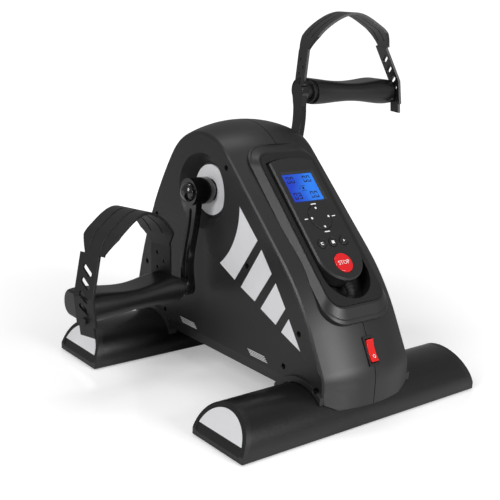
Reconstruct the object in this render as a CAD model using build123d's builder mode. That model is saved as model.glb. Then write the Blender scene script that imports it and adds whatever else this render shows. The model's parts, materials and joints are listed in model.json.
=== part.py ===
"""Motorised pedal exerciser: two floor feet, a crowned two-shell body with a slanted console,
a crank with two strapped pedals, and the gear motor, belt and control board that drive it.

Millimetres, +Z up, X across the machine (-X is the left side), -Y is the front with the console.
The origin is on the floor at the centre of the machine's footprint.
"""
from build123d import *
from math import atan2, cos, radians, sin
import os

# ---------------------------------------------------------------- driving dimensions
MID_Y = -7.25                 # middle of the wheelbase, from the origin
WHEELBASE = 266.0             # between the two feet
FOOT_LENGTH = 330.0
FOOT_DEPTH = 77.5
FOOT_TOP = 43.5               # crest of the dome above the floor
FOOT_LIP = 8.5                # straight lip below the dome
FOOT_WALL = 2.5
PAD_HEIGHT = 1.5              # the rubber pads lift the feet off the floor
CAP_LEAN = 15.0               # how far the end caps lean in over the dome's height
CAP_DEPTH = 6.0
BOLT_XS = (-18.0, 18.0)       # the feet are bolted to the rail at these two places

BODY_HALF = 61.0              # half width of the body at its side edges
CROWN = 11.5                  # bulge of the front, top and back over those edges
WALL = 2.6
BODY_BOTTOM = 24.0
SKIRT_BOTTOM = 30.0           # lower edge of the sides between the feet
ARCH_PROUD = 3.0              # flanges round the feet stand out from the sides
TOP_RADIUS = 67.0             # round top of the side outline
TOP_CENTRE = (51.0, 202.0)    # its centre, from the middle of the wheelbase

AXLE_OFFSET = 47.5            # crank axle behind the middle of the wheelbase
AXLE_Z = 205.0
CRANK_RADIUS = 104.0
CRANK_TILT = 5.2              # degrees that the crank leans forward at rest
ARM_HUB_X = 72.0              # centre of the arm's hub and of its pin boss
ARM_PIN_X = 82.0
SHAFT_RADIUS = 8.5
SPINDLE_RADIUS = 6.0
RUNNING_CLEARANCE = 0.05

DISC_RADIUS = 28.0
DISC_X = 49.0                 # outer face of the silver discs
RECESS_RADIUS = 41.0

CONSOLE_TILT = 45.0
SCREEN_OFFSET = (-50.0, 223.0)  # centre of the screen, on the handset's face
HANDSET_HALF = 30.0
HANDSET_TOP = 33.0
HANDSET_BOTTOM = -114.0
HANDSET_DEPTH = 15.0
HANDSET_GAP = 0.6
BEZEL_HALF, BEZEL_TOP, BEZEL_BOTTOM = 45.5, 63.0, -156.0
TRAY_HALF, TRAY_TOP, TRAY_BOTTOM = 37.0, 47.0, -139.0
TRAY_FLOOR = 20.0             # depth of the tray's floor under the handset's face

PEDAL_INNER, PEDAL_OUTER = 100.0, 220.0
STRAP_WIDTH = 44.0
STRAP_THICK = 3.0
STRAP_YAW = 18.0              # the strap's inner leg is set behind the pin, its ladder in front of it
STRAP_X, STRAP_Y = 157.5, 4.0  # middle of the strap, outwards and from the pin

PULLEY_RADIUS = 46.0
MOTOR_PULLEY_RADIUS = 12.0
MOTOR_AT = (-62.0, 112.0)     # motor shaft, from the middle of the wheelbase
BELT_X = 27.0
BELT_THICK = 2.0
BELT_GAP = 0.3

# ---------------------------------------------------------------- planes and derived places
AXLE_Y = MID_Y + AXLE_OFFSET
FRONT_Y = MID_Y - WHEELBASE / 2
REAR_Y = MID_Y + WHEELBASE / 2
SIDE = Plane(origin=(0, MID_Y, 0), x_dir=(0, 1, 0), z_dir=(1, 0, 0))
PIN_DY = -CRANK_RADIUS * sin(radians(CRANK_TILT))
PIN_DZ = -CRANK_RADIUS * cos(radians(CRANK_TILT))
CONSOLE = Plane(
    origin=(0, MID_Y + SCREEN_OFFSET[0], SCREEN_OFFSET[1]),
    x_dir=(1, 0, 0),
    z_dir=(0, -sin(radians(CONSOLE_TILT)), cos(radians(CONSOLE_TILT))),
)
SIDES = {"left": -1, "right": 1}

os.makedirs("parts", exist_ok=True)


def save(part, label):
    """Label one finished piece and write it."""
    part.label = label
    export_step(part, f"parts/{label}.step")


def across(x):
    """Side-view plane at a given x, seen from the right."""
    return SIDE.offset(x)


# ---------------------------------------------------------------- feet
def foot_profile(grow=0.0):
    """Half-round section of a foot, centred on the foot's own y."""
    half = FOOT_DEPTH / 2 + grow
    top = FOOT_TOP + grow
    base = PAD_HEIGHT - grow
    with BuildSketch() as sketch:
        with BuildLine():
            Line((-half, FOOT_LIP), (-half, base))
            Line((-half, base), (half, base))
            Line((half, base), (half, FOOT_LIP))
            EllipticalCenterArc((0, FOOT_LIP), half, top - FOOT_LIP, 0, arc_size=180)
        make_face()
    return sketch.sketch


def foot_bar(y, half_length, grow=0.0):
    """Foot section run across the machine at y."""
    with BuildPart() as bar:
        with BuildSketch(Plane(origin=(-half_length, y, 0), x_dir=(0, 1, 0), z_dir=(1, 0, 0))):
            add(foot_profile(grow))
        extrude(amount=2 * half_length)
    return bar.part


def lean_plane(side, back):
    """Leaning end plane of a foot, a given distance in from its outer face."""
    height = FOOT_TOP - FOOT_LIP
    tilt = atan2(CAP_LEAN, height)
    return Plane(
        origin=(side * (FOOT_LENGTH / 2 - back), 0, FOOT_LIP),
        x_dir=(0, 1, 0),
        z_dir=(side * cos(tilt), 0, sin(tilt)),
    )


def end_slice(y, side, near, far, grow):
    """The stretch of a foot's section between two leaning planes."""
    with BuildPart() as piece:
        add(foot_bar(y, FOOT_LENGTH / 2, grow))
        split(bisect_by=lean_plane(side, near), keep=Keep.BOTTOM)
        split(bisect_by=lean_plane(side, far), keep=Keep.TOP)
    return piece.part


for name, foot_y in (("front", FRONT_Y), ("rear", REAR_Y)):
    with BuildPart() as foot:
        add(foot_bar(foot_y, FOOT_LENGTH / 2))
        for side in SIDES.values():
            split(bisect_by=lean_plane(side, CAP_DEPTH), keep=Keep.BOTTOM)
        add(foot_bar(foot_y, FOOT_LENGTH / 2, -FOOT_WALL), mode=Mode.SUBTRACT)
        with Locations(*[(x, foot_y, 0) for x in BOLT_XS]):
            Cylinder(9, 10, mode=Mode.SUBTRACT)
        with Locations(*[(x, foot_y, FOOT_TOP) for x in BOLT_XS]):
            Cylinder(4.2, 12, mode=Mode.SUBTRACT)
    save(foot.part, f"{name}_foot")

    with BuildPart() as caps:
        for side in SIDES.values():
            with BuildPart(mode=Mode.PRIVATE) as cap:
                add(end_slice(foot_y, side, 0, CAP_DEPTH, 0))
                add(end_slice(foot_y, side, CAP_DEPTH, CAP_DEPTH + 10, -FOOT_WALL - 0.2))
                add(end_slice(foot_y, side, -5, 0.8, -5.0), mode=Mode.SUBTRACT)
            add(cap.part)
    save(caps.part, f"{name}_foot_caps")

    with BuildPart() as plates:
        for side in SIDES.values():
            add(end_slice(foot_y, side, 0, 0.7, -5.1))
        split(bisect_by=Plane.XY.offset(FOOT_LIP + 7.0), keep=Keep.TOP)
    save(plates.part, f"{name}_end_plates")

with BuildPart() as foot_pads:
    for foot_y in (FRONT_Y, REAR_Y):
        with Locations(*[(x, foot_y + dy, PAD_HEIGHT / 2) for x in (-142, 142) for dy in (-26, 26)]):
            Cylinder(7, PAD_HEIGHT)
save(foot_pads.part, "foot_pads")

RAIL_BOTTOM, RAIL_HEIGHT, RAIL_HALF = 58.0, 20.0, 30.0
RAIL_FRONT, RAIL_BACK = MID_Y - 145.0, MID_Y + 150.0

with BuildPart() as foot_saddles:
    for foot_y in (FRONT_Y, REAR_Y):
        with BuildPart(mode=Mode.PRIVATE) as saddle:
            with Locations((0, foot_y, RAIL_BOTTOM - 9)):
                Box(56, 22, 18)
            add(foot_bar(foot_y, 60, 0.1), mode=Mode.SUBTRACT)
            with Locations(*[(x, foot_y, RAIL_BOTTOM - 9) for x in BOLT_XS]):
                Cylinder(4.2, 30, mode=Mode.SUBTRACT)
        add(saddle.part)
save(foot_saddles.part, "foot_saddles")

with BuildPart() as foot_bolts:
    for foot_y in (FRONT_Y, REAR_Y):
        for x in BOLT_XS:
            with Locations((x, foot_y, FOOT_TOP - FOOT_WALL - 3.1)):
                Cylinder(6.5, 4.6)
            with Locations((x, foot_y, (FOOT_TOP - 5 + RAIL_BOTTOM + 14) / 2)):
                Cylinder(4, RAIL_BOTTOM + 14 - FOOT_TOP + 5)
            with Locations((x, foot_y, RAIL_BOTTOM + 2 + 3.5)):
                Cylinder(6.5, 7)
save(foot_bolts.part, "foot_bolts")

# ---------------------------------------------------------------- inner frame
with BuildPart() as base_rail:
    with Locations((0, (RAIL_FRONT + RAIL_BACK) / 2, RAIL_BOTTOM + RAIL_HEIGHT / 2)):
        Box(2 * RAIL_HALF, RAIL_BACK - RAIL_FRONT, RAIL_HEIGHT)
        Box(2 * RAIL_HALF - 4, RAIL_BACK - RAIL_FRONT, RAIL_HEIGHT - 4, mode=Mode.SUBTRACT)
    with Locations(*[(x, y, RAIL_BOTTOM) for x in BOLT_XS for y in (FRONT_Y, REAR_Y)]):
        Cylinder(4.2, 8, mode=Mode.SUBTRACT)
save(base_rail.part, "base_rail")

SHELL_TUBE_LEFT, SHELL_TUBE_RIGHT = -38.0, 16.0
HOUSING_RADIUS, BEARING_RADIUS, BEARING_WIDTH = 21.0, 17.5, 10.0
RAIL_TOP = RAIL_BOTTOM + RAIL_HEIGHT

with BuildPart() as bearing_housing:
    with BuildSketch(across(SHELL_TUBE_LEFT)):
        with Locations((AXLE_OFFSET, AXLE_Z)):
            Circle(HOUSING_RADIUS)
    extrude(amount=SHELL_TUBE_RIGHT - SHELL_TUBE_LEFT)
    with BuildSketch(across(SHELL_TUBE_LEFT)):
        with Locations((AXLE_OFFSET, AXLE_Z)):
            Circle(SHAFT_RADIUS + 4)
    extrude(amount=SHELL_TUBE_RIGHT - SHELL_TUBE_LEFT, mode=Mode.SUBTRACT)
    for x in (SHELL_TUBE_LEFT, SHELL_TUBE_RIGHT - BEARING_WIDTH):
        with BuildSketch(across(x)):
            with Locations((AXLE_OFFSET, AXLE_Z)):
                Circle(BEARING_RADIUS)
        extrude(amount=BEARING_WIDTH, mode=Mode.SUBTRACT)
save(bearing_housing.part, "bearing_housing")

with BuildPart() as crank_bearings:
    for x in (SHELL_TUBE_LEFT, SHELL_TUBE_RIGHT - BEARING_WIDTH):
        with BuildSketch(across(x)):
            with Locations((AXLE_OFFSET, AXLE_Z)):
                Circle(BEARING_RADIUS)
                Circle(SHAFT_RADIUS + RUNNING_CLEARANCE, mode=Mode.SUBTRACT)
        extrude(amount=BEARING_WIDTH)
save(crank_bearings.part, "crank_bearings")


def upright(x):
    """Frame plate that carries the bearing housing, 3 mm thick."""
    with BuildPart() as plate:
        with BuildSketch(across(x)):
            with BuildLine():
                Polyline(
                    (AXLE_OFFSET - 75, RAIL_TOP), (AXLE_OFFSET + 60, RAIL_TOP),
                    (AXLE_OFFSET + 31, AXLE_Z), (AXLE_OFFSET - 31, AXLE_Z), close=True,
                )
            make_face()
            with Locations((AXLE_OFFSET, AXLE_Z)):
                Circle(31)
            with Locations((AXLE_OFFSET, AXLE_Z)):
                Circle(HOUSING_RADIUS, mode=Mode.SUBTRACT)
            with Locations((AXLE_OFFSET, RAIL_TOP + 45)):
                Circle(22, mode=Mode.SUBTRACT)
        extrude(amount=3)
    return plate.part


for name, x in (("left", -30.0), ("right", 8.0)):
    save(upright(x), f"{name}_upright")


# ---------------------------------------------------------------- crank, pulley and belt
def disc_between(x0, x1, centre, radius):
    """Plain cylinder along X between two stations, drawn in the side view."""
    with BuildPart() as piece:
        with BuildSketch(across(x0)):
            with Locations(centre):
                Circle(radius)
        extrude(amount=x1 - x0)
    return piece.part


AXLE = (AXLE_OFFSET, AXLE_Z)
SHAFT_END = ARM_HUB_X + 6.0

with BuildPart() as crank_shaft:
    add(disc_between(-SHAFT_END, SHAFT_END, AXLE, SHAFT_RADIUS))
    add(disc_between(-53.5, SHELL_TUBE_LEFT - 0.5, AXLE, SHAFT_RADIUS + 2.5))
    add(disc_between(SHELL_TUBE_RIGHT + 0.5, 53.5, AXLE, SHAFT_RADIUS + 2.5))
save(crank_shaft.part, "crank_shaft")

with BuildPart() as drive_pulley:
    add(disc_between(BELT_X - 6, BELT_X + 6, AXLE, PULLEY_RADIUS))
    add(disc_between(BELT_X - 7.5, BELT_X - 6, AXLE, PULLEY_RADIUS + 1.5))
    add(disc_between(BELT_X + 6, BELT_X + 7.5, AXLE, PULLEY_RADIUS + 1.5))
    add(disc_between(BELT_X - 8, BELT_X + 8, AXLE, SHAFT_RADIUS + 2.5), mode=Mode.SUBTRACT)
    with BuildSketch(across(BELT_X - 8)):
        with Locations(AXLE):
            with PolarLocations(29, 6):
                Circle(10)
    extrude(amount=16, mode=Mode.SUBTRACT)
save(drive_pulley.part, "drive_pulley")

with BuildPart() as motor_pulley:
    add(disc_between(BELT_X - 6, BELT_X + 6, MOTOR_AT, MOTOR_PULLEY_RADIUS))
    add(disc_between(BELT_X - 7.5, BELT_X - 6, MOTOR_AT, MOTOR_PULLEY_RADIUS + 1.5))
    add(disc_between(BELT_X + 6, BELT_X + 7.5, MOTOR_AT, MOTOR_PULLEY_RADIUS + 1.5))
    add(disc_between(-14, BELT_X + 7.5, MOTOR_AT, 4))
save(motor_pulley.part, "motor_pulley")

MOTOR_RADIUS = 28.0
with BuildPart() as gear_motor:
    add(disc_between(-50, -18, MOTOR_AT, MOTOR_RADIUS))
    add(disc_between(-18, 12, MOTOR_AT, MOTOR_RADIUS - 3))
    add(disc_between(-15, 13, MOTOR_AT, 4 + RUNNING_CLEARANCE), mode=Mode.SUBTRACT)
save(gear_motor.part, "gear_motor")

with BuildPart() as motor_bracket:
    with Locations((14, MID_Y + MOTOR_AT[0], (RAIL_TOP + MOTOR_AT[1] + 22) / 2)):
        Box(4, 56, MOTOR_AT[1] + 22 - RAIL_TOP)
    with Locations((0, MID_Y + MOTOR_AT[0], RAIL_TOP + 1.5)):
        Box(30, 56, 3)
    add(disc_between(10, 18, MOTOR_AT, 10), mode=Mode.SUBTRACT)
    with BuildSketch(across(10)):
        with Locations(MOTOR_AT):
            with PolarLocations(18, 4, start_angle=45):
                Circle(2.2)
    extrude(amount=8, mode=Mode.SUBTRACT)
save(motor_bracket.part, "motor_bracket")


def belt_outline(grow):
    """Outer tangents and arcs round the two pulleys, grown by a given amount."""
    with BuildSketch() as sketch:
        with Locations(AXLE):
            Circle(PULLEY_RADIUS + grow)
        with Locations(MOTOR_AT):
            Circle(MOTOR_PULLEY_RADIUS + grow)
        make_hull()
    return sketch.sketch


with BuildPart() as drive_belt:
    with BuildSketch(across(BELT_X - 5)):
        add(belt_outline(BELT_GAP + BELT_THICK))
        add(belt_outline(BELT_GAP), mode=Mode.SUBTRACT)
    extrude(amount=10)
save(drive_belt.part, "drive_belt")


# ---------------------------------------------------------------- body shells
FRONT_LINE = ((-163.0, 12.0), (-163.0, 54.9), (-121.2, 132.2))   # side edge of the nose, before its fillets
FRONT_RADII = (30.0, 250.0)
ARC_START, ARC_END = 133.5, 32.0                                 # the round top, as angles from the rear
REAR_END = (177.5, 22.0)
CREASE = ((141, 173), (85, 156), (8, 133), (-19, 121), (-54, 107), (-90, 93), (-128, 75))
SCREWS = ((5, 237), (134, 161), (152, 99), (111, 50), (-38, 141), (-124, 93), (-104, 52), (-154.5, 44))
EDGE_BREAK = 1.6


def outline_path():
    """Side edge of the body from the foot of the nose over the top to the foot of the back."""
    start = tuple(
        TOP_CENTRE[i] + TOP_RADIUS * (cos, sin)[i](radians(ARC_START)) for i in range(2)
    )
    with BuildLine() as path:
        FilletPolyline(*FRONT_LINE, start, radius=FRONT_RADII)
        top = CenterArc(TOP_CENTRE, TOP_RADIUS, ARC_START, ARC_END - ARC_START)
        back = TangentArc(top @ 1, REAR_END, tangent=top % 1)
        Line(back @ 1, back @ 1 + 10 * (back % 1))
    return path.line


def outline_face(grow):
    """The whole side outline as a face in side-view coordinates, grown by a given amount."""
    path = outline_path()
    with BuildSketch() as sketch:
        with BuildLine():
            add(path)
            Line(path @ 1, path @ 0)
        make_face()
        offset(amount=grow)
    return sketch.sketch


def prism(face, x0, x1):
    """A side-view face run across the machine from x0 to x1."""
    with BuildPart() as piece:
        with BuildSketch(across(x0)):
            add(face)
        extrude(amount=x1 - x0)
    return piece.part


def body_solid(inset):
    """The crowned body as one solid, its skin moved inwards by the inset."""
    half = BODY_HALF - inset
    path = SIDE * outline_path()
    with BuildPart() as solid:
        add(prism(outline_face(-5), -half, half))
        with BuildSketch(Plane(origin=path @ 0, x_dir=(-1, 0, 0), z_dir=(0, 0, 1))):
            with BuildLine():
                Polyline(
                    (-half + EDGE_BREAK, 0.3 - inset), (-half, -EDGE_BREAK - inset), (-half, -9),
                    (half, -9), (half, -EDGE_BREAK - inset), (half - EDGE_BREAK, 0.3 - inset),
                )
                ThreePointArc(
                    (half - EDGE_BREAK, 0.3 - inset), (0, CROWN - inset), (-half + EDGE_BREAK, 0.3 - inset)
                )
            make_face()
        sweep(path=path)
    return solid.part


def hub_recess(side, grow):
    """Conical recess round the crank axle."""
    with BuildPart() as cone:
        for x, radius in ((BODY_HALF + 3, RECESS_RADIUS + 2.4), (DISC_X - 2 - grow, 30)):
            with BuildSketch(Plane(origin=(side * x, AXLE_Y, AXLE_Z), z_dir=(1, 0, 0))):
                Circle(radius + grow)
        loft()
    return cone.part


def skirt_bevel(side, grow):
    """Wedge that tucks the lower edge of the sides in by 5 mm."""
    with BuildPart() as wedge:
        with BuildSketch(Plane.XZ.offset(250)):
            with BuildLine():
                x = BODY_HALF - grow
                Polyline(
                    (side * (x - 7), 10), (side * x, SKIRT_BOTTOM + 12), (side * (x + 20), SKIRT_BOTTOM + 12),
                    (side * (x + 20), 10), close=True,
                )
            make_face()
        extrude(amount=-500)
    return wedge.part


def console_block(half, top, bottom, radius, low, high):
    """Rounded oblong block between two heights over the console plane."""
    with BuildPart() as block:
        with BuildSketch(CONSOLE.offset(low)):
            with Locations((0, (top + bottom) / 2)):
                RectangleRounded(2 * half, top - bottom, radius)
        extrude(amount=high - low)
    return block.part


FEET_CUT = [foot_bar(y, 80, 0.6) for y in (FRONT_Y, REAR_Y)]
OPENING = console_block(BEZEL_HALF - 2, BEZEL_TOP - 2, BEZEL_BOTTOM + 3, 22, -40, 25)

ROCKER_Z = 76.7
NOSE_TILT = atan2(FRONT_LINE[2][0] - FRONT_LINE[1][0], FRONT_LINE[2][1] - FRONT_LINE[1][1])
ROCKER_Y = (
    MID_Y + FRONT_LINE[1][0] - CROWN * cos(NOSE_TILT)
    + (ROCKER_Z - FRONT_LINE[1][1] - CROWN * sin(NOSE_TILT)) * sin(NOSE_TILT) / cos(NOSE_TILT)
)
ROCKER = Plane(
    origin=(0, ROCKER_Y, ROCKER_Z), x_dir=(1, 0, 0), z_dir=(0, -cos(NOSE_TILT), sin(NOSE_TILT))
)
SOCKET = Plane(origin=(26, MID_Y + 184, 72), x_dir=(-1, 0, 0), z_dir=(0, 1, 0))

with BuildPart() as void:
    add(body_solid(WALL))
    for side in SIDES.values():
        add(hub_recess(side, WALL), mode=Mode.SUBTRACT)
        add(skirt_bevel(side, WALL), mode=Mode.SUBTRACT)

with BuildPart() as shells:
    add(body_solid(0))
    for side in SIDES.values():
        with BuildSketch(across(side * (BODY_HALF - 0.5))):
            add(outline_face(-2.2))
            with BuildLine():
                Polyline((200, 192), *CREASE, (-180, 50), (-180, 320), (200, 320), close=True)
            make_face(mode=Mode.INTERSECT)
        extrude(amount=side * 1.3)
    for side in SIDES.values():
        add(hub_recess(side, 0), mode=Mode.SUBTRACT)
        add(skirt_bevel(side, 0), mode=Mode.SUBTRACT)
    add(void.part, mode=Mode.SUBTRACT)
    for side in SIDES.values():
        for foot_y in (FRONT_Y, REAR_Y):
            with BuildPart(mode=Mode.PRIVATE) as arch:
                add(prism(outline_face(0), side * (BODY_HALF - 6), side * (BODY_HALF + ARCH_PROUD)))
                add(foot_bar(foot_y, 80, 6.5), mode=Mode.INTERSECT)
            add(arch.part)
    for centre in SCREWS:
        add(disc_between(-BODY_HALF + 1, BODY_HALF - 1, centre, 5.5))
    for centre in SCREWS:
        add(disc_between(-BODY_HALF - 5, -24, centre, 3.1), mode=Mode.SUBTRACT)
        add(disc_between(-25, 0, centre, 1.8), mode=Mode.SUBTRACT)
        add(disc_between(-1, 16, centre, 1.3), mode=Mode.SUBTRACT)
    add(disc_between(-70, 70, AXLE, 12.5), mode=Mode.SUBTRACT)
    for cut in FEET_CUT:
        add(cut, mode=Mode.SUBTRACT)
    add(OPENING, mode=Mode.SUBTRACT)
    with BuildSketch(ROCKER.offset(-20)):
        Rectangle(13, 28.4)
    extrude(amount=40, mode=Mode.SUBTRACT)
    with BuildSketch(SOCKET.offset(-20)):
        Circle(6.2)
    extrude(amount=40, mode=Mode.SUBTRACT)
    split(bisect_by=Plane.XY.offset(BODY_BOTTOM), keep=Keep.TOP)
    with Locations((0, MID_Y, 0)):
        Box(200, WHEELBASE - 2 * 38, 2 * SKIRT_BOTTOM, mode=Mode.SUBTRACT)

with BuildPart() as seam_groove:
    add(prism(outline_face(CROWN + 6), -0.45, 0.45))
    add(body_solid(0.9), mode=Mode.SUBTRACT)

for name, keep in (("left", Keep.BOTTOM), ("right", Keep.TOP)):
    with BuildPart() as shell:
        add(shells.part)
        add(seam_groove.part, mode=Mode.SUBTRACT)
        split(bisect_by=Plane.YZ, keep=keep)
    save(shell.part, f"{name}_shell")

with BuildPart() as shell_screws:
    for centre in SCREWS:
        add(disc_between(-26, -24, centre, 2.9))
        add(disc_between(-25, 13, centre, 1.2))
save(shell_screws.part, "shell_screws")

for name, side in SIDES.items():
    with BuildPart() as disc:
        add(disc_between(side * (DISC_X - 2), side * DISC_X, AXLE, DISC_RADIUS))
        add(disc_between(side * (DISC_X - 3), side * (DISC_X + 1), AXLE, 12.5), mode=Mode.SUBTRACT)
    save(disc.part, f"{name}_hub_disc")


# ---------------------------------------------------------------- console surround
PLUG_LOW, TRAY_LEVEL = -24.0, -4.0

with BuildPart() as console_bezel:
    with BuildSketch(CONSOLE.offset(-15)):
        with Locations((0, (BEZEL_TOP + BEZEL_BOTTOM) / 2)):
            RectangleRounded(2 * BEZEL_HALF, BEZEL_TOP - BEZEL_BOTTOM, 25)
    with BuildSketch(CONSOLE.offset(-11)):
        with Locations((0, (BEZEL_TOP + BEZEL_BOTTOM) / 2)):
            RectangleRounded(2 * BEZEL_HALF, BEZEL_TOP - BEZEL_BOTTOM, 25)
    with BuildSketch(CONSOLE.offset(TRAY_LEVEL - 0.5)):
        with Locations((0, (TRAY_TOP + TRAY_BOTTOM) / 2)):
            RectangleRounded(2 * TRAY_HALF + 4, TRAY_TOP - TRAY_BOTTOM + 6, 18)
    loft(ruled=True)
    add(shells.part, mode=Mode.SUBTRACT)
    add(console_block(BEZEL_HALF - 2.3, BEZEL_TOP - 2.3, BEZEL_BOTTOM + 3.3, 22, PLUG_LOW, -9))
    add(
        console_block(TRAY_HALF + 0.3, TRAY_TOP + 0.3, TRAY_BOTTOM - 0.3, 15, PLUG_LOW - 5, 10),
        mode=Mode.SUBTRACT,
    )
save(console_bezel.part, "console_bezel")


def handset_outline(grow=0.0, tail=0.0):
    """Handset shape in the console plane: arched top, straight flanks, round bottom."""
    half, top = HANDSET_HALF + grow, HANDSET_TOP + grow
    with BuildSketch() as sketch:
        with BuildLine():
            turn = HANDSET_BOTTOM + HANDSET_HALF
            Polyline((-half, turn - tail), (-half, top - 1), (-half + 1, top))
            ThreePointArc((-half + 1, top), (0, top + 4.5), (half - 1, top))
            Polyline((half - 1, top), (half, top - 1), (half, turn - tail))
            ThreePointArc((half, turn - tail), (0, HANDSET_BOTTOM - grow - tail), (-half, turn - tail))
        make_face()
    return sketch.sketch


def handset_block(grow, low, high, tail=0.0):
    """Handset-shaped block between two heights over its face."""
    with BuildPart() as block:
        with BuildSketch(CONSOLE.offset(low)):
            add(handset_outline(grow, tail))
        extrude(amount=high - low)
    return block.part


LEAD_T = -126.5      # where the handset's lead drops through the tray
LEAD_RADIUS = 2.2

with BuildPart() as console_tray:
    add(console_block(TRAY_HALF, TRAY_TOP, TRAY_BOTTOM, 15, -TRAY_FLOOR - 2, TRAY_LEVEL))
    add(handset_block(HANDSET_GAP, -HANDSET_DEPTH - 0.3, 5), mode=Mode.SUBTRACT)
    add(handset_block(1.6, -TRAY_FLOOR, 5, 18), mode=Mode.SUBTRACT)
    add(handset_block(-5, -TRAY_FLOOR - 1, -HANDSET_DEPTH - 0.3))
    with BuildSketch(CONSOLE.offset(-TRAY_FLOOR - 3)):
        with Locations((0, LEAD_T)):
            Circle(5.2)
    extrude(amount=5, mode=Mode.SUBTRACT)
save(console_tray.part, "console_tray")

with BuildPart() as cable_grommet:
    for low, high, radius in ((-TRAY_FLOOR - 2, -TRAY_FLOOR, 5.2), (-TRAY_FLOOR, -TRAY_FLOOR + 1.2, 6.2)):
        with BuildSketch(CONSOLE.offset(low)):
            with Locations((0, LEAD_T)):
                Circle(radius)
                Circle(LEAD_RADIUS + 0.6, mode=Mode.SUBTRACT)
        extrude(amount=high - low)
save(cable_grommet.part, "cable_grommet")


# ---------------------------------------------------------------- handset
SHELL_SPLIT = -8.0
BOARD_TOP = -8.6
LCD_HALF_W, LCD_HALF_H = 20.5, 17.0
DPAD_T, DPAD_RADIUS = -39.3, 14.5
BUTTON_T, BUTTON_RADIUS = -69.7, 4.7
BUTTON_XS = {"left": -15.2, "middle": 0.0, "right": 15.2}
STOP_T, STOP_RADIUS = -94.4, 11.2
KEY_GAP = 0.4
OUTWARD = Axis(CONSOLE.origin, CONSOLE.z_dir)


def console_disc(x, t, radius, low, high):
    """Round button, hole or stem between two heights over the console plane."""
    with BuildPart() as piece:
        with BuildSketch(CONSOLE.offset(low)):
            with Locations((x, t)):
                Circle(radius)
        extrude(amount=high - low)
    return piece.part


def console_box(x, t, width, length, low, high):
    """Rectangular block between two heights over the console plane."""
    with BuildPart() as piece:
        with BuildSketch(CONSOLE.offset(low)):
            with Locations((x, t)):
                Rectangle(width, length)
        extrude(amount=high - low)
    return piece.part


LEAD_BEND, LEAD_LEVEL, LEAD_END = 7.0, -9.0, -62.0


def lead_tube(radius, start, whole=True):
    """Round sleeve along the handset's lead, which bends down through the tray."""
    side_plane = Plane(origin=CONSOLE.origin, x_dir=CONSOLE.y_dir, z_dir=CONSOLE.x_dir)
    with BuildLine(side_plane) as way:
        Line((start, LEAD_LEVEL), (LEAD_T + LEAD_BEND, LEAD_LEVEL))
        CenterArc((LEAD_T + LEAD_BEND, LEAD_LEVEL - LEAD_BEND), LEAD_BEND, 90, 90 if whole else 70)
        if whole:
            Line((LEAD_T, LEAD_LEVEL - LEAD_BEND), (LEAD_T, LEAD_END))
    with BuildPart() as tube:
        with BuildSketch(Plane(origin=way.line @ 0, z_dir=way.line % 0)):
            Circle(radius)
        sweep(path=way.line)
    return tube.part


RELIEF_START = HANDSET_BOTTOM + 4.0
HANDSET_LEAD = lead_tube(LEAD_RADIUS, RELIEF_START + 2)
RELIEF_BODY = lead_tube(3.4, RELIEF_START, False)

with BuildPart() as handset_front:
    add(handset_block(0, SHELL_SPLIT, 0))
    chamfer(handset_front.faces().sort_by(OUTWARD)[-1].edges(), 1.6)
    add(handset_block(-1.8, SHELL_SPLIT - 1, -2), mode=Mode.SUBTRACT)
    add(console_box(0, 0, 56, 42, -6.4, -1.9))
    with BuildSketch(CONSOLE.offset(-2)):
        Rectangle(2 * LCD_HALF_W, 2 * LCD_HALF_H)
    with BuildSketch(CONSOLE.offset(0.1)):
        Rectangle(2 * LCD_HALF_W + 5, 2 * LCD_HALF_H + 5)
    loft(mode=Mode.SUBTRACT)
    add(console_box(0, 0, 2 * LCD_HALF_W + 3, 2 * LCD_HALF_H + 3, -9, -2), mode=Mode.SUBTRACT)
    add(console_disc(0, DPAD_T, DPAD_RADIUS + 0.5, -9, 5), mode=Mode.SUBTRACT)
    for x in BUTTON_XS.values():
        add(console_disc(x, BUTTON_T, BUTTON_RADIUS + 1.9, -0.5, 5), mode=Mode.SUBTRACT)
        add(console_disc(x, BUTTON_T, BUTTON_RADIUS + KEY_GAP, -9, 5), mode=Mode.SUBTRACT)
    add(console_disc(0, STOP_T, STOP_RADIUS + KEY_GAP, -9, 5), mode=Mode.SUBTRACT)
    add(RELIEF_BODY, mode=Mode.SUBTRACT)
save(handset_front.part, "handset_front")

with BuildPart() as handset_back:
    add(handset_block(0, -HANDSET_DEPTH, SHELL_SPLIT))
    add(handset_block(-1.8, -HANDSET_DEPTH + 2, SHELL_SPLIT + 1), mode=Mode.SUBTRACT)
    for t in (20, -90):
        add(console_disc(-22, t, 2.5, -HANDSET_DEPTH + 1, BOARD_TOP - 1.6))
        add(console_disc(22, t, 2.5, -HANDSET_DEPTH + 1, BOARD_TOP - 1.6))
    add(RELIEF_BODY, mode=Mode.SUBTRACT)
save(handset_back.part, "handset_back")

with BuildPart() as lcd_window:
    add(console_box(0, 0, 2 * LCD_HALF_W + 3, 2 * LCD_HALF_H + 3, -3.2, -2))
save(lcd_window.part, "lcd_window")

with BuildPart() as lcd_module:
    add(console_box(0, 0, 2 * LCD_HALF_W + 3, 2 * LCD_HALF_H + 3, BOARD_TOP, -3.2))
save(lcd_module.part, "lcd_module")

with BuildPart() as handset_board:
    add(handset_block(-2.4, BOARD_TOP - 1.6, BOARD_TOP))
    for x, t in ((0, DPAD_T), *[(x, BUTTON_T) for x in BUTTON_XS.values()], (0, STOP_T)):
        add(console_disc(x, t, 3, BOARD_TOP - 0.1, BOARD_TOP + 0.8))
    add(console_box(0, HANDSET_BOTTOM + 4, 10, 8, BOARD_TOP - 3, BOARD_TOP + 1), mode=Mode.SUBTRACT)
save(handset_board.part, "handset_board")

KEY_LOW = BOARD_TOP + 2.2     # underside of the key stems at rest

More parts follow.
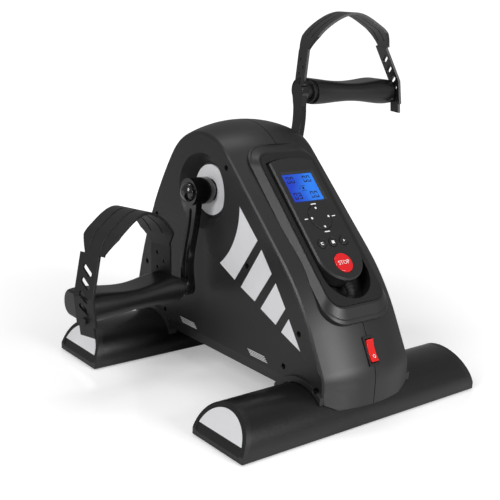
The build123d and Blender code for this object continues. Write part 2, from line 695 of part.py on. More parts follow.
with BuildPart() as stop_button:
    add(console_disc(0, STOP_T, STOP_RADIUS, -4, 0.9))
    fillet(stop_button.faces().sort_by(OUTWARD)[-1].edges(), 0.7)
    add(console_disc(0, STOP_T, 3, KEY_LOW, -4))
save(stop_button.part, "stop_button")

for name, x in BUTTON_XS.items():
    with BuildPart() as button:
        add(console_disc(x, BUTTON_T, BUTTON_RADIUS, -4, 0.6))
        fillet(button.faces().sort_by(OUTWARD)[-1].edges(), 0.6)
        add(console_disc(x, BUTTON_T, 2, KEY_LOW, -4))
    save(button.part, f"{name}_button")

with BuildPart() as direction_pad:
    add(console_disc(0, DPAD_T, DPAD_RADIUS, -2.5, 0.5))
    fillet(direction_pad.faces().sort_by(OUTWARD)[-1].edges(), 0.4)
    add(console_disc(0, DPAD_T, 9.2, -3.3, -2.4))
    add(console_disc(0, DPAD_T, 6, -5, -2), mode=Mode.SUBTRACT)
save(direction_pad.part, "direction_pad")

with BuildPart() as pad_pivot:
    add(console_disc(0, DPAD_T, 3.2, -7.4, -2.3))
save(pad_pivot.part, "pad_pivot")


with BuildPart() as strain_relief:
    add(RELIEF_BODY)
    side_plane = Plane(origin=CONSOLE.origin, x_dir=CONSOLE.y_dir, z_dir=CONSOLE.x_dir)
    for angle in (0, 22, 44, 66):
        turn = radians(angle)
        t = LEAD_T + LEAD_BEND - LEAD_BEND * sin(turn)
        level = LEAD_LEVEL - LEAD_BEND + LEAD_BEND * cos(turn)
        with BuildSketch(Plane(
            origin=side_plane.from_local_coords((t, level, 0)),
            z_dir=side_plane.from_local_coords((-cos(turn), -sin(turn), 0)) - side_plane.origin,
        )):
            Circle(4.4)
        extrude(amount=0.6, both=True)
    for t in (-116.2, -118.6):
        with BuildSketch(Plane(origin=side_plane.from_local_coords((t, LEAD_LEVEL, 0)), z_dir=CONSOLE.y_dir)):
            Circle(4.4)
        extrude(amount=0.6, both=True)
    add(HANDSET_LEAD, mode=Mode.SUBTRACT)
save(strain_relief.part, "strain_relief")
save(HANDSET_LEAD, "handset_lead")


# ---------------------------------------------------------------- power switch and inlet
ROCKER_WIDTH, ROCKER_LENGTH = 14.4, 30.6
KEY_WIDTH, KEY_LENGTH, KEY_TILT = 9.6, 23.6, -10.0

with BuildPart() as switch_housing:
    with BuildSketch(ROCKER.offset(-0.2)):
        RectangleRounded(ROCKER_WIDTH, ROCKER_LENGTH, 1)
    extrude(amount=1.8)
    add(shells.part, mode=Mode.SUBTRACT)
    with BuildSketch(ROCKER.offset(-15)):
        Rectangle(12.6, 28)
    extrude(amount=16)
    with BuildSketch(ROCKER.offset(-12)):
        Rectangle(KEY_WIDTH + 0.8, KEY_LENGTH + 1.2)
    extrude(amount=20, mode=Mode.SUBTRACT)
save(switch_housing.part, "switch_housing")

KEY_SIDE = Plane(origin=ROCKER.origin, x_dir=ROCKER.y_dir, z_dir=ROCKER.x_dir)

with BuildPart() as switch_key:
    with BuildSketch(KEY_SIDE.offset(-KEY_WIDTH / 2)):
        with Locations(Location((0, 0, 0), (0, 0, 1), KEY_TILT)):
            with BuildLine():
                h = KEY_LENGTH / 2 - 0.4
                Polyline((h, 3.4), (h - 2.5, -3), (0, -7), (2.5 - h, -3), (-h, 3.4))
                ThreePointArc((-h, 3.4), (0, 1.6), (h, 3.4))
            make_face()
    extrude(amount=KEY_WIDTH)
save(switch_key.part, "switch_key")

with BuildPart() as power_inlet:
    with BuildSketch(SOCKET.offset(-14)):
        Circle(6)
    extrude(amount=17)
    add(shells.part, mode=Mode.SUBTRACT)
    with BuildSketch(SOCKET.offset(-12)):
        Circle(3.2)
    extrude(amount=20, mode=Mode.SUBTRACT)
    with BuildSketch(SOCKET.offset(-13)):
        Circle(1.1)
    extrude(amount=11)
save(power_inlet.part, "power_inlet")

# ---------------------------------------------------------------- control board
BOARD_Y = MID_Y + 131.0
with BuildPart() as board_standoffs:
    with Locations(*[(x, BOARD_Y + dy, RAIL_TOP + 4) for x in (-24, 24) for dy in (-13, 13)]):
        Cylinder(3, 8)
save(board_standoffs.part, "board_standoffs")

with BuildPart() as control_board:
    with Locations((0, BOARD_Y, RAIL_TOP + 8.8)):
        Box(58, 34, 1.6)
    with Locations((-12, BOARD_Y - 4, RAIL_TOP + 12)):
        Box(14, 18, 6)
    with Locations((10, BOARD_Y - 8, RAIL_TOP + 14)):
        Cylinder(5, 10)
save(control_board.part, "control_board")


# ---------------------------------------------------------------- crank arms
def arm_planes(side):
    """Side-on plane along one crank arm, and the edge-on plane across it."""
    turn = -side
    along = (0, turn * PIN_DY / CRANK_RADIUS, turn * PIN_DZ / CRANK_RADIUS)
    flat = Plane(origin=(0, AXLE_Y, AXLE_Z), x_dir=along, z_dir=(1, 0, 0))
    edge = Plane(origin=(0, AXLE_Y, AXLE_Z), x_dir=along, z_dir=(0, along[2], -along[1]))
    return flat, edge


def arm_band(edge, side, inner, outer):
    """Edge-on S shape of the arm, between two depths from its middle line, 40 mm deep."""
    with BuildPart() as band:
        with BuildSketch(edge.offset(-20)):
            with BuildLine():
                low = [(-20, ARM_HUB_X + inner), (18, ARM_HUB_X + inner)]
                high = [(84, ARM_PIN_X + inner), (120, ARM_PIN_X + inner)]
                low_out = [(-20, ARM_HUB_X + outer), (18, ARM_HUB_X + outer)]
                high_out = [(84, ARM_PIN_X + outer), (120, ARM_PIN_X + outer)]
                flip = [[(s, side * x) for s, x in pair] for pair in (low, high, low_out, high_out)]
                Line(*flip[0])
                Spline(flip[0][1], flip[1][0], tangents=((1, 0), (1, 0)))
                Line(*flip[1])
                Line(flip[1][1], flip[3][1])
                Line(flip[3][1], flip[3][0])
                Spline(flip[3][0], flip[2][1], tangents=((-1, 0), (-1, 0)))
                Line(flip[2][1], flip[2][0])
                Line(flip[2][0], flip[0][0])
            make_face()
        extrude(amount=40)
    return band.part


def pin_disc(side, x0, x1, radius):
    """Cylinder on the pedal pin's axis between two distances from the middle."""
    turn = -side
    centre = (AXLE_OFFSET + turn * PIN_DY, AXLE_Z + turn * PIN_DZ)
    return disc_between(side * x0, side * x1, centre, radius)


ARM_ROOT = 54.0               # inner end of the arm's hub
SPINDLE_START = ARM_PIN_X - 1.5
SPINDLE_BORE = SPINDLE_RADIUS + RUNNING_CLEARANCE
COLLAR_START, COLLAR_RADIUS = PEDAL_INNER - 5.0, 12.5

for name, side in SIDES.items():
    flat, edge = arm_planes(side)
    with BuildPart() as crank_arm:
        with BuildSketch(flat.offset(side * 55)):
            Circle(12)
            with Locations((28, 0)):
                Circle(7.5)
            make_hull()
            with BuildSketch(mode=Mode.PRIVATE) as shank:
                with Locations((28, 0)):
                    Circle(7.5)
                with Locations((88, 0)):
                    Circle(7)
                make_hull()
            add(shank.sketch)
            with Locations((CRANK_RADIUS, 0)):
                Circle(9)
            with BuildSketch(mode=Mode.PRIVATE) as toe:
                with Locations((88, 0)):
                    Circle(7)
                with Locations((CRANK_RADIUS, 0)):
                    Circle(9)
                make_hull()
            add(toe.sketch)
        extrude(amount=side * 45)
        add(arm_band(edge, side, -4, 4), mode=Mode.INTERSECT)
        with BuildPart(mode=Mode.PRIVATE) as groove:
            with BuildSketch(flat.offset(side * 55)):
                with Locations((55, 0)):
                    SlotOverall(74, 5)
            extrude(amount=side * 45)
            add(arm_band(edge, side, 2.4, 8), mode=Mode.INTERSECT)
        add(groove.part, mode=Mode.SUBTRACT)
        add(disc_between(side * ARM_ROOT, side * (ARM_HUB_X + 7), AXLE, 15))
        add(pin_disc(side, ARM_PIN_X - 3.6, ARM_PIN_X + 6, 9.5))
        add(disc_between(side * (ARM_ROOT - 2), side * SHAFT_END, AXLE, SHAFT_RADIUS), mode=Mode.SUBTRACT)
        add(disc_between(side * SHAFT_END, side * (SHAFT_END + 3), AXLE, 10.5), mode=Mode.SUBTRACT)
        add(pin_disc(side, SPINDLE_START, ARM_PIN_X + 8, SPINDLE_RADIUS), mode=Mode.SUBTRACT)
    save(crank_arm.part, f"{name}_crank_arm")

    with BuildPart() as cap:
        add(disc_between(side * SHAFT_END, side * (ARM_HUB_X + 8.5), AXLE, 10.5))
        with BuildSketch(Plane((side * (ARM_HUB_X + 8.5), AXLE_Y, AXLE_Z), (1, 0, 0), (0, -1, 0))):
            with BuildLine():
                Line((0, 0), (0, 10.5))
                ThreePointArc((0, 10.5), (side * 4.2, 7.2), (side * 5.8, 0))
                Line((side * 5.8, 0), (0, 0))
            make_face()
        revolve(axis=Axis((0, AXLE_Y, AXLE_Z), (1, 0, 0)))
    save(cap.part, f"{name}_crank_cap")

    with BuildPart() as spindle:
        add(pin_disc(side, SPINDLE_START, PEDAL_OUTER - 12, SPINDLE_RADIUS))
        add(pin_disc(side, ARM_PIN_X + 6, COLLAR_START - 0.3, SPINDLE_RADIUS + 2.5))
    save(spindle.part, f"{name}_pedal_spindle")

# ---------------------------------------------------------------- pedals and straps
PEDAL_SECTIONS = (          # distance out, middle and depth fore and aft, thickness, corner radius
    (100, 10, 50, 29, 14),
    (118, 9, 50, 27.7, 13),
    (148, 3, 45, 22, 10.5),
    (188, 0, 48, 27, 12.5),
    (220, -1, 52, 27, 12.5),
)


def strap_plane(side, shift=0.0):
    """Upright plane along one strap, with x measured outwards from the strap's middle."""
    turn = -side
    yaw = radians(STRAP_YAW)
    return Plane(
        origin=(side * STRAP_X, AXLE_Y + turn * PIN_DY + STRAP_Y, AXLE_Z + turn * PIN_DZ),
        x_dir=(side * cos(yaw), -sin(yaw), 0),
        z_dir=(-sin(yaw), -side * cos(yaw), 0),
    ).offset(-side * shift)


def strap_band(side, points, tangents, thick, width, shift=0.0):
    """Strap length traced through points of the strap's plane and run across its width."""
    with BuildPart() as band:
        with BuildSketch(strap_plane(side, shift)):
            with BuildLine():
                if tangents:
                    Spline(*points, tangents=tangents)
                else:
                    Polyline(*points)
            trace(line_width=thick)
        extrude(amount=width / 2, both=True)
    return band.part


def strap_face(side, reach):
    """Plane square to the strap at a given reach from its middle, with x across the strap to the rear."""
    along = strap_plane(side)
    rear = along.z_dir * -side
    return Plane(origin=along.from_local_coords((reach, 0, 0)), x_dir=rear, z_dir=along.x_dir * side)


HOOP = ((-56, 46), (-33, 78.5), (1, 91.5), (30, 79), (50, 54))
HOOP_TANGENTS = ((0.25, 1), (0.4, -1))
LEG = ((-58.5, 7), (-56, 46.2))
LADDER = ((49.6, 54.5), (67.5, 14), (68.5, -13), (68.5, -24))
LADDER_SLANT = 0.2          # the ladder runs forwards this much for each millimetre down
LADDER_REAR = 6.0           # its middle at the top, behind the hoop's

for name, side in SIDES.items():
    turn = -side
    pin_y, pin_z = AXLE_Y + turn * PIN_DY, AXLE_Z + turn * PIN_DZ
    with BuildPart() as strap:
        add(strap_band(side, HOOP, HOOP_TANGENTS, STRAP_THICK, STRAP_WIDTH))
        for reach, foot_z in ((-56, 48), (50, 56)):
            for sign in (1, -1):
                with BuildSketch(strap_face(side, reach - 18)):
                    with BuildLine():
                        Polyline(
                            (sign * 12.5, foot_z - 10), (sign * 12.5, foot_z), (sign * 22.5, foot_z + 16),
                            (sign * 40, foot_z + 16), (sign * 40, foot_z - 10),
                            close=True,
                        )
                    make_face()
                extrude(amount=side * 36, mode=Mode.SUBTRACT)
        with BuildPart(mode=Mode.PRIVATE) as creases:
            for shift in (-8, 8):
                add(strap_band(side, HOOP, HOOP_TANGENTS, STRAP_THICK + 1, 2, shift))
                add(strap_band(side, HOOP, HOOP_TANGENTS, STRAP_THICK - 1.2, 3, shift), mode=Mode.SUBTRACT)
            with Locations((side * STRAP_X, pin_y, pin_z + 80)):
                Box(106, 90, 38, mode=Mode.INTERSECT)
        add(creases.part, mode=Mode.SUBTRACT)
        add(strap_band(side, LEG, None, STRAP_THICK, 26))
        with BuildPart(mode=Mode.PRIVATE) as ladder:
            add(strap_band(side, LADDER, None, STRAP_THICK, 100))
            with BuildSketch(strap_face(side, 30)):
                with BuildLine():
                    Polyline(*[
                        (v + LADDER_REAR + (z - 56) * LADDER_SLANT, z) for v, z in (
                            (-12.5, 56), (12.5, 56), (12.5, -13), (9.5, -13), (9.5, -24), (-9.5, -24),
                            (-9.5, -13), (-12.5, -13),
                        )
                    ], close=True)
                make_face()
            extrude(amount=side * 50, mode=Mode.INTERSECT)
            with BuildSketch(strap_face(side, 30)):
                for z in (39, 27, 15, 3):
                    middle = LADDER_REAR + (z - 56) * LADDER_SLANT
                    with Locations(Location((middle, z, 0), (0, 0, 1), -side * 32)):
                        SlotOverall(16, 5.2)
            extrude(amount=side * 50, mode=Mode.SUBTRACT)
        add(ladder.part)
        with BuildSketch(strap_face(side, -70)):
            with Locations((4, 36), (-5, 27), (4, 19)):
                Circle(1.8)
        extrude(amount=side * 22, mode=Mode.SUBTRACT)
        add(pin_disc(side, COLLAR_START - 4, PEDAL_INNER, COLLAR_RADIUS + 1), mode=Mode.SUBTRACT)
    save(strap.part, f"{name}_strap")

    with BuildPart() as pedal:
        for x, middle, depth, thick, radius in PEDAL_SECTIONS:
            with BuildSketch(Plane(origin=(side * x, pin_y, pin_z), x_dir=(0, 1, 0), z_dir=(1, 0, 0))):
                with Locations((middle, 0)):
                    RectangleRounded(depth, thick, radius)
        loft()
        fillet(pedal.faces().sort_by(Axis.X)[-1 if side > 0 else 0].edges(), 3)
        stud = strap_face(side, 68)
        with BuildSketch(stud.offset(-side * 12)):
            with Locations((LADDER_REAR - 64 * LADDER_SLANT, -8)):
                Circle(3.5)
        extrude(amount=side * 18)
        add(pin_disc(side, PEDAL_INNER - 6, PEDAL_OUTER - 11, SPINDLE_BORE), mode=Mode.SUBTRACT)
        add(strap.part, mode=Mode.SUBTRACT)
    save(pedal.part, f"{name}_pedal")

    with BuildPart() as collar:
        add(pin_disc(side, COLLAR_START, PEDAL_INNER - 0.1, COLLAR_RADIUS))
        add(pin_disc(side, COLLAR_START - 1, PEDAL_INNER + 1, SPINDLE_BORE), mode=Mode.SUBTRACT)
    save(collar.part, f"{name}_pedal_collar")
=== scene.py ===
"""Looks for the pedal exerciser: materials, painted marks, screen and studio round the CAD frame."""
import json
import math
import bmesh
import bpy
from mathutils import Matrix, Vector


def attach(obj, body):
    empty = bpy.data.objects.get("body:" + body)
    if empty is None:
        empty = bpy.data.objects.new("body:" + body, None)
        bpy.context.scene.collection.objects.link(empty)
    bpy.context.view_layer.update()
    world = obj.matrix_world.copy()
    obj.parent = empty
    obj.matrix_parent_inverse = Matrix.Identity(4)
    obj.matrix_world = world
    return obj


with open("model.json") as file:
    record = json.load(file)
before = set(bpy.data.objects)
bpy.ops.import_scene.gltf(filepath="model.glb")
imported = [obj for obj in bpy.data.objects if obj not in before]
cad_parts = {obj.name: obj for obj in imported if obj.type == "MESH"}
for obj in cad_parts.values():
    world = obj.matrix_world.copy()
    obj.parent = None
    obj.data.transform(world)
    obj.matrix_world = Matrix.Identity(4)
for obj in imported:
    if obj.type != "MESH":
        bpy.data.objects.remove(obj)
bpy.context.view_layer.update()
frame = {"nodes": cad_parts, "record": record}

MM = 0.001
MID_Y = -7.25 * MM


def lin(value):
    """Display grey or colour channel (0 to 1) to a linear value."""
    return value / 12.92 if value <= 0.04045 else ((value + 0.055) / 1.055) ** 2.4


def rgb(r, g=None, b=None):
    """Linear RGBA from display values."""
    g = r if g is None else g
    b = r if b is None else b
    return (lin(r), lin(g), lin(b), 1.0)


# ---------------------------------------------------------------- camera
def place_camera():
    """Camera off the left of the console end, level with the top of the machine."""
    yaw, pitch, roll = (math.radians(a) for a in (-39.63, 14.85, 3.14))
    back = Vector((math.sin(yaw) * math.cos(pitch), -math.cos(yaw) * math.cos(pitch), math.sin(pitch)))
    right = (-back).cross(Vector((0, 0, 1))).normalized()
    up = right.cross(-back)
    rolled_right = math.cos(roll) * right + math.sin(roll) * up
    rolled_up = -math.sin(roll) * right + math.cos(roll) * up
    data = bpy.data.cameras.new("Camera")
    data.sensor_width = 36.0
    data.lens = 66.89
    data.clip_end = 50.0
    camera = bpy.data.objects.new("Camera", data)
    turn = Matrix((rolled_right, rolled_up, back)).transposed().to_4x4()
    camera.matrix_world = Matrix.Translation(Vector((-0.6536, -0.7563 + MID_Y, 0.4053))) @ turn
    bpy.context.collection.objects.link(camera)
    bpy.context.scene.camera = camera


place_camera()


# ---------------------------------------------------------------- materials
class Nodes:
    """Small helper that adds and links shader nodes."""

    def __init__(self, name):
        self.material = bpy.data.materials.new(name)
        self.material.use_nodes = True
        self.tree = self.material.node_tree
        self.shader = self.tree.nodes["Principled BSDF"]
        coords = self.tree.nodes.new("ShaderNodeTexCoord")
        self.where = coords.outputs["Object"]

    def add(self, kind, inputs=None, **settings):
        node = self.tree.nodes.new("ShaderNode" + kind)
        for key, value in settings.items():
            setattr(node, key, value)
        for key, value in (inputs or {}).items():
            if isinstance(value, bpy.types.NodeSocket):
                self.tree.links.new(value, node.inputs[key])
            else:
                node.inputs[key].default_value = value
        return node

    def noise(self, scale, detail=2.0, rough=0.5, where=None):
        return self.add(
            "TexNoise", {"Vector": where or self.where, "Scale": scale, "Detail": detail, "Roughness": rough}
        ).outputs["Fac"]

    def ramp(self, value, low, high, out_low=0.0, out_high=1.0):
        ends = {"From Min": low, "From Max": high, "To Min": out_low, "To Max": out_high}
        return self.add("MapRange", {"Value": value, **ends}).outputs["Result"]

    def mix(self, factor, a, b):
        node = self.add("Mix", {"Factor": factor}, data_type="RGBA")
        for slot, value in ((6, a), (7, b)):
            if isinstance(value, bpy.types.NodeSocket):
                self.tree.links.new(value, node.inputs[slot])
            else:
                node.inputs[slot].default_value = value
        return node.outputs[2]

    def bump(self, height, distance, strength=1.0, normal=None):
        inputs = {"Height": height, "Distance": distance, "Strength": strength}
        if normal is not None:
            inputs["Normal"] = normal
        return self.add("Bump", inputs).outputs["Normal"]

    def set(self, **values):
        for key, value in values.items():
            socket = self.shader.inputs[key.replace("_", " ")]
            if isinstance(value, bpy.types.NodeSocket):
                self.tree.links.new(value, socket)
            else:
                socket.default_value = value


def moulded(name, shade, rough=0.5, grain=900.0, depth=0.05, coat=0.0, metallic=0.0, edge=0.4, spread=0.12):
    """Moulded or painted surface: faint mottling, fine grain, softened edges and uneven gloss."""
    n = Nodes(name)
    dark = tuple(c * (1 - spread) for c in shade[:3]) + (1.0,)
    light = tuple(min(1.0, c * (1 + spread)) for c in shade[:3]) + (1.0,)
    cloud = n.noise(14.0, 3.0)
    fine = n.noise(grain, 3.0, 0.6)
    rounded = n.add("Bevel", {"Radius": edge * MM}, samples=4).outputs["Normal"]
    n.set(
        Base_Color=n.mix(n.ramp(cloud, 0.3, 0.7), dark, light),
        Roughness=n.ramp(fine, 0.3, 0.7, rough - 0.05, rough + 0.05),
        Normal=n.bump(fine, depth * MM, 0.6, rounded),
        Metallic=metallic,
        Coat_Weight=coat,
        Coat_Roughness=0.12,
    )
    return n.material


def metal(name, shade, rough=0.3, stretch=(1.0, 30.0, 30.0), depth=0.02):
    """Turned or brushed metal with fine marks drawn out along one axis."""
    n = Nodes(name)
    scaled = n.add("Mapping", {"Vector": n.where, "Scale": stretch}).outputs["Vector"]
    marks = n.noise(60.0, 4.0, 0.6, scaled)
    cloud = n.noise(20.0, 2.0)
    dark = tuple(c * 0.8 for c in shade[:3]) + (1.0,)
    n.set(
        Base_Color=n.mix(n.ramp(cloud, 0.3, 0.7), dark, shade),
        Roughness=n.ramp(marks, 0.3, 0.7, rough - 0.08, rough + 0.08),
        Normal=n.bump(marks, depth * MM, 0.5),
        Metallic=1.0,
    )
    return n.material


def screen_blue():
    """Backlit display: bright blue with a paler, uneven glow towards one side."""
    n = Nodes("display_blue")
    glow = n.noise(45.0, 1.0)
    split = n.add("SeparateXYZ", {"Vector": n.where})
    across = n.ramp(split.outputs["X"], -0.021, 0.021)
    mixed = n.add("Math", {0: across, 1: n.ramp(glow, 0.3, 0.7, -0.18, 0.18)}, operation="ADD").outputs[0]
    colour = n.mix(mixed, rgb(0.02, 0.17, 0.62), rgb(0.1, 0.42, 0.8))
    n.set(Base_Color=colour, Roughness=n.ramp(glow, 0.3, 0.7, 0.12, 0.2), Emission_Color=colour,
          Emission_Strength=0.5, Coat_Weight=0.5, Coat_Roughness=0.05)
    return n.material


MATERIALS = {
    "black_plastic": moulded("shell_plastic", rgb(0.115, 0.115, 0.118), 0.42, 1400, 0.05, edge=0.7),
    "foot_black": moulded("foot_coat", rgb(0.04, 0.04, 0.042), 0.32, 700, 0.03, coat=0.15),
    "cap_black": moulded("cap_plastic", rgb(0.06, 0.06, 0.063), 0.42, 900, 0.04, edge=0.6),
    "silver_trim": moulded(
        "silver_trim", rgb(0.93, 0.93, 0.94), 0.38, 1100, 0.02, metallic=0.15, spread=0.05
    ),
    "rubber": moulded("soft_rubber", rgb(0.08), 0.7, 600, 0.08),
    "zinc": metal("zinc_plate", rgb(0.72, 0.72, 0.74), 0.4),
    "frame_steel": moulded("frame_paint", rgb(0.3, 0.3, 0.31), 0.45, 500, 0.03),
    "steel": metal("turned_steel", rgb(0.6, 0.6, 0.62), 0.28),
    "gloss_black": moulded("gloss_black", rgb(0.03, 0.03, 0.034), 0.16, 300, 0.01, coat=0.7, edge=0.8),
    "board_green": moulded("board_green", rgb(0.08, 0.38, 0.2), 0.35, 800, 0.03),
    "belt_black": moulded("belt_rubber", rgb(0.1), 0.65, 500, 0.1),
    "pulley_grey": moulded("pulley_nylon", rgb(0.45), 0.5, 700, 0.05),
    "handset_black": moulded("handset_plastic", rgb(0.115, 0.115, 0.12), 0.4, 1600, 0.03, edge=0.5),
    "stop_red": moulded("stop_red", rgb(0.84, 0.04, 0.08), 0.25, 500, 0.01, coat=0.5, spread=0.06),
    "switch_red": moulded("switch_red", rgb(0.85, 0.06, 0.05), 0.18, 400, 0.01, coat=0.8, spread=0.06),
    "lcd_clear": screen_blue(),
    "lcd_blue": moulded("display_back", rgb(0.1, 0.2, 0.8), 0.3, 500, 0.01),
    "pedal_black": moulded("pedal_rubber", rgb(0.06, 0.06, 0.064), 0.34, 1300, 0.06, edge=1.0),
    "strap_black": moulded("strap_rubber", rgb(0.085, 0.085, 0.09), 0.44, 1200, 0.05, edge=0.6),
}
for part in frame["record"]["subparts"]:
    node = frame["nodes"][part["node"]]
    node.data.materials.clear()
    node.data.materials.append(MATERIALS[part["material_slot"]])
DEEP_BLACK = moulded("deep_black", rgb(0.05), 0.5, 500, 0.03)
for name in ("console_tray", "left_pedal_spindle", "right_pedal_spindle"):
    frame["nodes"][name].data.materials[0] = DEEP_BLACK

WHITE_INK = moulded("white_ink", rgb(0.93), 0.45, 800, 0.01, spread=0.04)
DARK_INK = moulded("dark_ink", rgb(0.02, 0.03, 0.2), 0.4, 800, 0.01, spread=0.1)


# ---------------------------------------------------------------- flat pieces
def link(name, mesh, body, material):
    """Put a mesh in the scene as one piece that rides on a body."""
    piece = bpy.data.objects.new(name, mesh)
    bpy.context.collection.objects.link(piece)
    mesh.materials.append(material)
    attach(piece, body)
    return piece


def plates(name, outlines, place, thick, body, material):
    """Thin plates from flat outlines (in mm), lifted onto a surface by place(u, v, height)."""
    work = bmesh.new()
    for outline in outlines:
        low = [work.verts.new(place(u * MM, v * MM, 0.0)) for u, v in outline]
        high = [work.verts.new(place(u * MM, v * MM, thick * MM)) for u, v in outline]
        work.faces.new(high)
        work.faces.new(low[::-1])
        for i in range(len(outline)):
            j = (i + 1) % len(outline)
            work.faces.new((low[i], low[j], high[j], high[i]))
    bmesh.ops.recalc_face_normals(work, faces=work.faces)
    bmesh.ops.triangulate(work, faces=[f for f in work.faces if len(f.verts) > 4])
    mesh = bpy.data.meshes.new(name)
    work.to_mesh(mesh)
    work.free()
    return link(name, mesh, body, material)


def arc(centre, start, end, radius, steps):
    """Points on the shorter arc of a given radius from start to end, bulging away from the centre hint."""
    mid = Vector(((start[0] + end[0]) / 2, (start[1] + end[1]) / 2))
    chord = Vector((end[0] - start[0], end[1] - start[1]))
    across = Vector((-chord.y, chord.x)).normalized()
    rise = math.sqrt(max(radius ** 2 - (chord.length / 2) ** 2, 0.0))
    hub = min((mid + across * rise, mid - across * rise), key=lambda p: (p - Vector(centre)).length)
    first = math.atan2(start[1] - hub.y, start[0] - hub.x)
    last = math.atan2(end[1] - hub.y, end[0] - hub.x)
    sweep = (last - first + math.pi) % (2 * math.pi) - math.pi
    turns = [first + sweep * i / steps for i in range(steps + 1)]
    return [(hub.x + radius * math.cos(turn), hub.y + radius * math.sin(turn)) for turn in turns]


# ---------------------------------------------------------------- painted stripes
PANEL_X, SIDE_X = 61.8 * MM, 61.0 * MM
STRIPES = [
    [(-21, 201), (-53, 172), (-19, 121), *arc((56, 192), (8, 133), (-21, 201), 80, 16)[:-1]],
    [(-60, 164), (-78, 143), (-54, 107), (-30, 116)],
    [(-85, 135), (-102, 113), (-89, 92), (-64, 102)],
    [(-108, 104), (-128, 76), (-98, 87)],
]
HATCH_RUNS = ((46.0, 45.0), (-79.0, 46.6))      # start and lower edge of each set of lines


def hatch(start, bottom):
    """Four long thin lines, one over the other, with slanted ends."""
    return [
        [(start + rise, bottom + rise), (start + rise + 28, bottom + rise),
         (start + rise + 28.8, bottom + rise + 0.8), (start + rise + 0.8, bottom + rise + 0.8)]
        for rise in (0.0, 1.6, 3.2, 4.8)
    ]


for side_name, side in (("left", -1), ("right", 1)):
    def on_side(u, v, height, reach=PANEL_X):
        return (side * (reach + height), MID_Y + u, v)

    plates(f"{side_name}_stripes", STRIPES, on_side, 0.12, "base", MATERIALS["silver_trim"])
    dashes = [dash for run in HATCH_RUNS for dash in hatch(*run)]
    plates(
        f"{side_name}_dashes", dashes, lambda u, v, h: on_side(u, v, h, SIDE_X),
        0.1, "base", WHITE_INK,
    )

# ---------------------------------------------------------------- console marks
SCREEN = Vector((0, MID_Y - 50 * MM, 223 * MM))
SLOPE = math.radians(45)
ALONG = Vector((0, math.cos(SLOPE), math.sin(SLOPE)))
OUT = Vector((0, -math.sin(SLOPE), math.cos(SLOPE)))
WINDOW_LEVEL, PAD_LEVEL, KEY_LEVEL, STOP_LEVEL = -2.0, 0.5, 0.6, 0.94   # surfaces over the handset's face, mm
STOP_AT = -94.4               # middle of the stop key along the console, mm


def on_console(level):
    """Placing function for the console plane at a height (mm) over the handset's face."""
    return lambda u, v, height: SCREEN + Vector((u, 0, 0)) + ALONG * v + OUT * (level * MM + height)


def rect(x0, y0, x1, y1):
    """Outline of a rectangle between two opposite corners."""
    return [(x0, y0), (x1, y0), (x1, y1), (x0, y1)]


def disc(x, y, radius, steps=20):
    """Outline of a regular polygon that stands for a disc."""
    return [
        (x + radius * math.cos(2 * math.pi * i / steps), y + radius * math.sin(2 * math.pi * i / steps))
        for i in range(steps)
    ]


def digit(x, y, on, width=4.6, height=8.0, bar=1.1):
    """Seven-segment digit with its lower left corner at x, y."""
    mid = y + height / 2
    segments = {
        "a": rect(x, y + height - bar, x + width, y + height),
        "g": rect(x, mid - bar / 2, x + width, mid + bar / 2),
        "d": rect(x, y, x + width, y + bar),
        "f": rect(x, mid + 0.7, x + bar, y + height - bar - 0.2),
        "e": rect(x, y + bar + 0.2, x + bar, mid - 0.7),
        "b": rect(x + width - bar, mid + 0.7, x + width, y + height - bar - 0.2),
        "c": rect(x + width - bar, y + bar + 0.2, x + width, mid - 0.7),
    }
    return [segments[s] for s in on]


ZERO, THREE = "abcdef", "abcdg"
DIGIT_PITCH = 5.8
PAIRS = ((-17.5, 6.0, ZERO), (5.5, 6.0, ZERO), (-17.5, -14.0, THREE), (5.5, -14.0, ZERO))
DIGITS = []
for corner_x, corner_y, second in PAIRS:
    DIGITS += digit(corner_x, corner_y, ZERO) + digit(corner_x + DIGIT_PITCH, corner_y, second)
SYMBOLS = [
    rect(-3.4, 1.6, 3.4, 2.2), rect(-3.4, -4.2, 3.4, -3.6),
    disc(0, -0.9, 1.5, 12), rect(-6.2, -1.1, -3.6, -0.5),
]
plates("display_digits", DIGITS + SYMBOLS, on_console(WINDOW_LEVEL), 0.05, "handset", DARK_INK)

DASHES = [rect(-3.6, -23.2, 3.6, -22.0), rect(-3.6, -57.2, 3.6, -56.0), rect(-21.5, -39.9, -17.0, -38.7),
          rect(17.0, -39.9, 21.5, -38.7)]
plates("keypad_labels", DASHES, on_console(0.0), 0.05, "handset", WHITE_INK)
DOTS = [disc(0, -27.8, 1.3), disc(0, -50.8, 1.3), disc(-11.5, -39.3, 1.3), disc(11.5, -39.3, 1.3)]
plates("pad_dots", DOTS, on_console(PAD_LEVEL), 0.08, "pad", WHITE_INK)
LEFT_MARK = [
    rect(-16.9, -71.2, -13.5, -70.4), rect(-16.9, -69.0, -13.5, -68.2), rect(-16.9, -70.4, -16.1, -69.0),
]
MIDDLE_MARK = [rect(-1.8, -71.4, 1.8, -68.0)]
RIGHT_MARK = [disc(15.2, -69.7, 1.7, 3)]
for key, mark in (("left_key", LEFT_MARK), ("middle_key", MIDDLE_MARK), ("right_key", RIGHT_MARK)):
    plates(f"{key}_mark", mark, on_console(KEY_LEVEL), 0.05, key, WHITE_INK)


